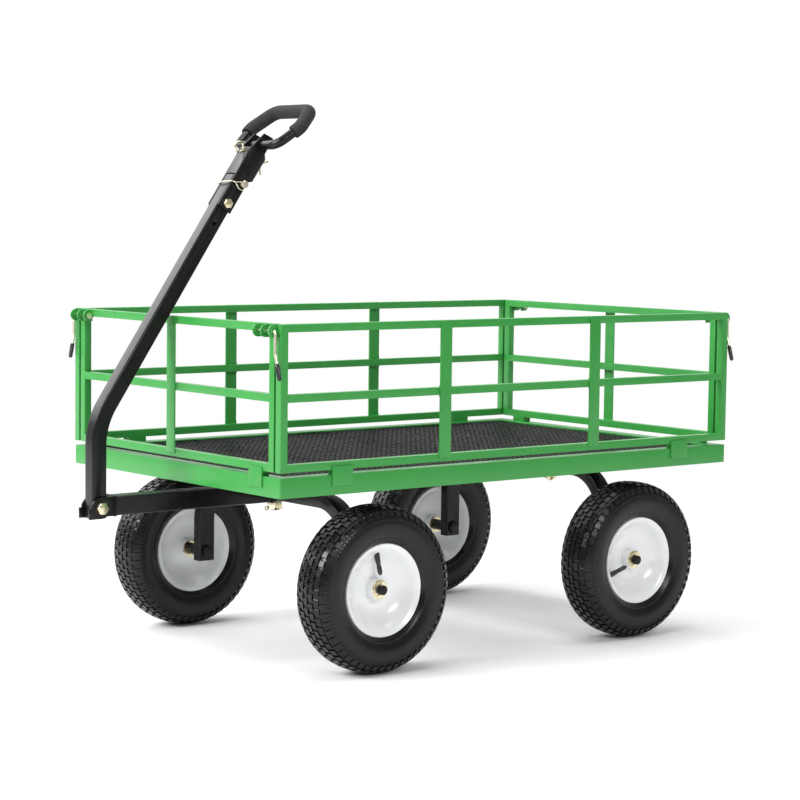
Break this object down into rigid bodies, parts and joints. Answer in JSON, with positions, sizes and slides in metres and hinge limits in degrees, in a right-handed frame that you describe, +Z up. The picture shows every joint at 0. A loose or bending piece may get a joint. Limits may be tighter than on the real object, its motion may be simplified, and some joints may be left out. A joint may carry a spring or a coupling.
{
  "type": "garden cart",
  "caption": "Four-wheel steel garden cart with a railed rack, arched axles, pneumatic tyres, steered front axle and a folding pull handle with a looped grip.",
  "frame": {"origin": "on the ground under the middle of the whole cart's box, handle included", "axes": "+X forward to the handle end, +Y the cart's left, +Z up"},
  "size_m": [1.4114, 0.7554, 1.1081],
  "materials": {
    "green_powder_coat": "gloss powder coat",
    "black_powder_coat": "semi-gloss powder coat",
    "white_enamel": "gloss enamel",
    "yellow_zinc": "yellow zinc plating",
    "tyre_rubber": "moulded rubber",
    "butyl_rubber": "smooth rubber",
    "foam": "closed-cell foam"
  },
  "bodies": {
    "chassis": {"deck_frame": "green_powder_coat", "deck_mesh": "black_powder_coat", "cross_channels": "black_powder_coat", "steering_head": "black_powder_coat", "rear_mount_plate": "black_powder_coat", "rear_axle_beam": "black_powder_coat", "kingpin": "black_powder_coat", "kingpin_castle_nut": "yellow_zinc", "kingpin_cotter_pin": "yellow_zinc", "rear_mount_bolts": "yellow_zinc", "rear_mount_castle_nuts": "yellow_zinc", "rear_stub_axles": "black_powder_coat", "rear_axle_washers": "yellow_zinc", "rear_axle_cotter_pins": "yellow_zinc", "left_side_panel": "green_powder_coat", "right_side_panel": "green_powder_coat", "front_panel": "green_powder_coat", "rear_panel": "green_powder_coat"},
    "front_axle": {"front_axle_beam": "black_powder_coat", "steering_thrust_washer": "yellow_zinc", "tongue_tube": "black_powder_coat", "tongue_clevis": "black_powder_coat", "front_stub_axles": "black_powder_coat", "front_axle_washers": "yellow_zinc", "front_axle_cotter_pins": "yellow_zinc", "handle_pivot_bolt": "yellow_zinc", "handle_pivot_nut": "yellow_zinc"},
    "front_left_wheel": {"front_left_tyre": "tyre_rubber", "front_left_inner_tube": "butyl_rubber", "front_left_rim": "white_enamel", "front_left_hub": "white_enamel", "front_left_bearings": "yellow_zinc"},
    "front_right_wheel": {"front_right_tyre": "tyre_rubber", "front_right_inner_tube": "butyl_rubber", "front_right_rim": "white_enamel", "front_right_hub": "white_enamel", "front_right_bearings": "yellow_zinc"},
    "rear_left_wheel": {"rear_left_tyre": "tyre_rubber", "rear_left_inner_tube": "butyl_rubber", "rear_left_rim": "white_enamel", "rear_left_hub": "white_enamel", "rear_left_bearings": "yellow_zinc"},
    "rear_right_wheel": {"rear_right_tyre": "tyre_rubber", "rear_right_inner_tube": "butyl_rubber", "rear_right_rim": "white_enamel", "rear_right_hub": "white_enamel", "rear_right_bearings": "yellow_zinc"},
    "handle": {"handle_tube": "black_powder_coat", "handle_head": "black_powder_coat", "grip_loop": "black_powder_coat", "foam_grip": "foam", "head_bolt": "yellow_zinc", "head_bolt_nut": "yellow_zinc", "hitch_pin_lanyard": "yellow_zinc", "head_cotter_pin": "yellow_zinc"},
    "hitch_pin_body": {"hitch_pin": "yellow_zinc"},
    "front_left_latch": {"front_left_latch_pin": "yellow_zinc"},
    "front_right_latch": {"front_right_latch_pin": "yellow_zinc"},
    "rear_left_latch": {"rear_left_latch_pin": "yellow_zinc"},
    "rear_right_latch": {"rear_right_latch_pin": "yellow_zinc"}
  },
  "joints": [
    {"name": "steer", "type": "hinge", "parent": "chassis", "child": "front_axle", "pos_m": [0.2538, 0, 0.3], "axis": [0, 0, 1], "range_deg": [-14, 14]},
    {"name": "front_left_wheel_spin", "type": "hinge", "parent": "front_axle", "child": "front_left_wheel", "pos_m": [0.2538, 0.329, 0.165], "axis": [0, 1, 0], "continuous": true},
    {"name": "front_right_wheel_spin", "type": "hinge", "parent": "front_axle", "child": "front_right_wheel", "pos_m": [0.2538, -0.329, 0.165], "axis": [0, 1, 0], "continuous": true},
    {"name": "rear_left_wheel_spin", "type": "hinge", "parent": "chassis", "child": "rear_left_wheel", "pos_m": [-0.4332, 0.329, 0.165], "axis": [0, 1, 0], "continuous": true},
    {"name": "rear_right_wheel_spin", "type": "hinge", "parent": "chassis", "child": "rear_right_wheel", "pos_m": [-0.4332, -0.329, 0.165], "axis": [0, 1, 0], "continuous": true},
    {"name": "handle_tilt", "type": "hinge", "parent": "front_axle", "child": "handle", "pos_m": [0.6797, 0, 0.3175], "axis": [0, 1, 0], "range_deg": [0, 130]},
    {"name": "hitch_pin_pull", "type": "slide", "parent": "handle", "child": "hitch_pin_body", "axis": [0, 1, 0], "range_m": [0, 0.06]},
    {"name": "front_left_latch_swing", "type": "hinge", "parent": "chassis", "child": "front_left_latch", "pos_m": [0.5143, 0.33, 0.672], "axis": [0, -1, 0], "range_deg": [0, 170]},
    {"name": "front_right_latch_swing", "type": "hinge", "parent": "chassis", "child": "front_right_latch", "pos_m": [0.5143, -0.33, 0.672], "axis": [0, -1, 0], "range_deg": [0, 170]},
    {"name": "rear_left_latch_swing", "type": "hinge", "parent": "chassis", "child": "rear_left_latch", "pos_m": [-0.6937, 0.33, 0.672], "axis": [0, 1, 0], "range_deg": [0, 170]},
    {"name": "rear_right_latch_swing", "type": "hinge", "parent": "chassis", "child": "rear_right_latch", "pos_m": [-0.6937, -0.33, 0.672], "axis": [0, 1, 0], "range_deg": [0, 170]}
  ]
}
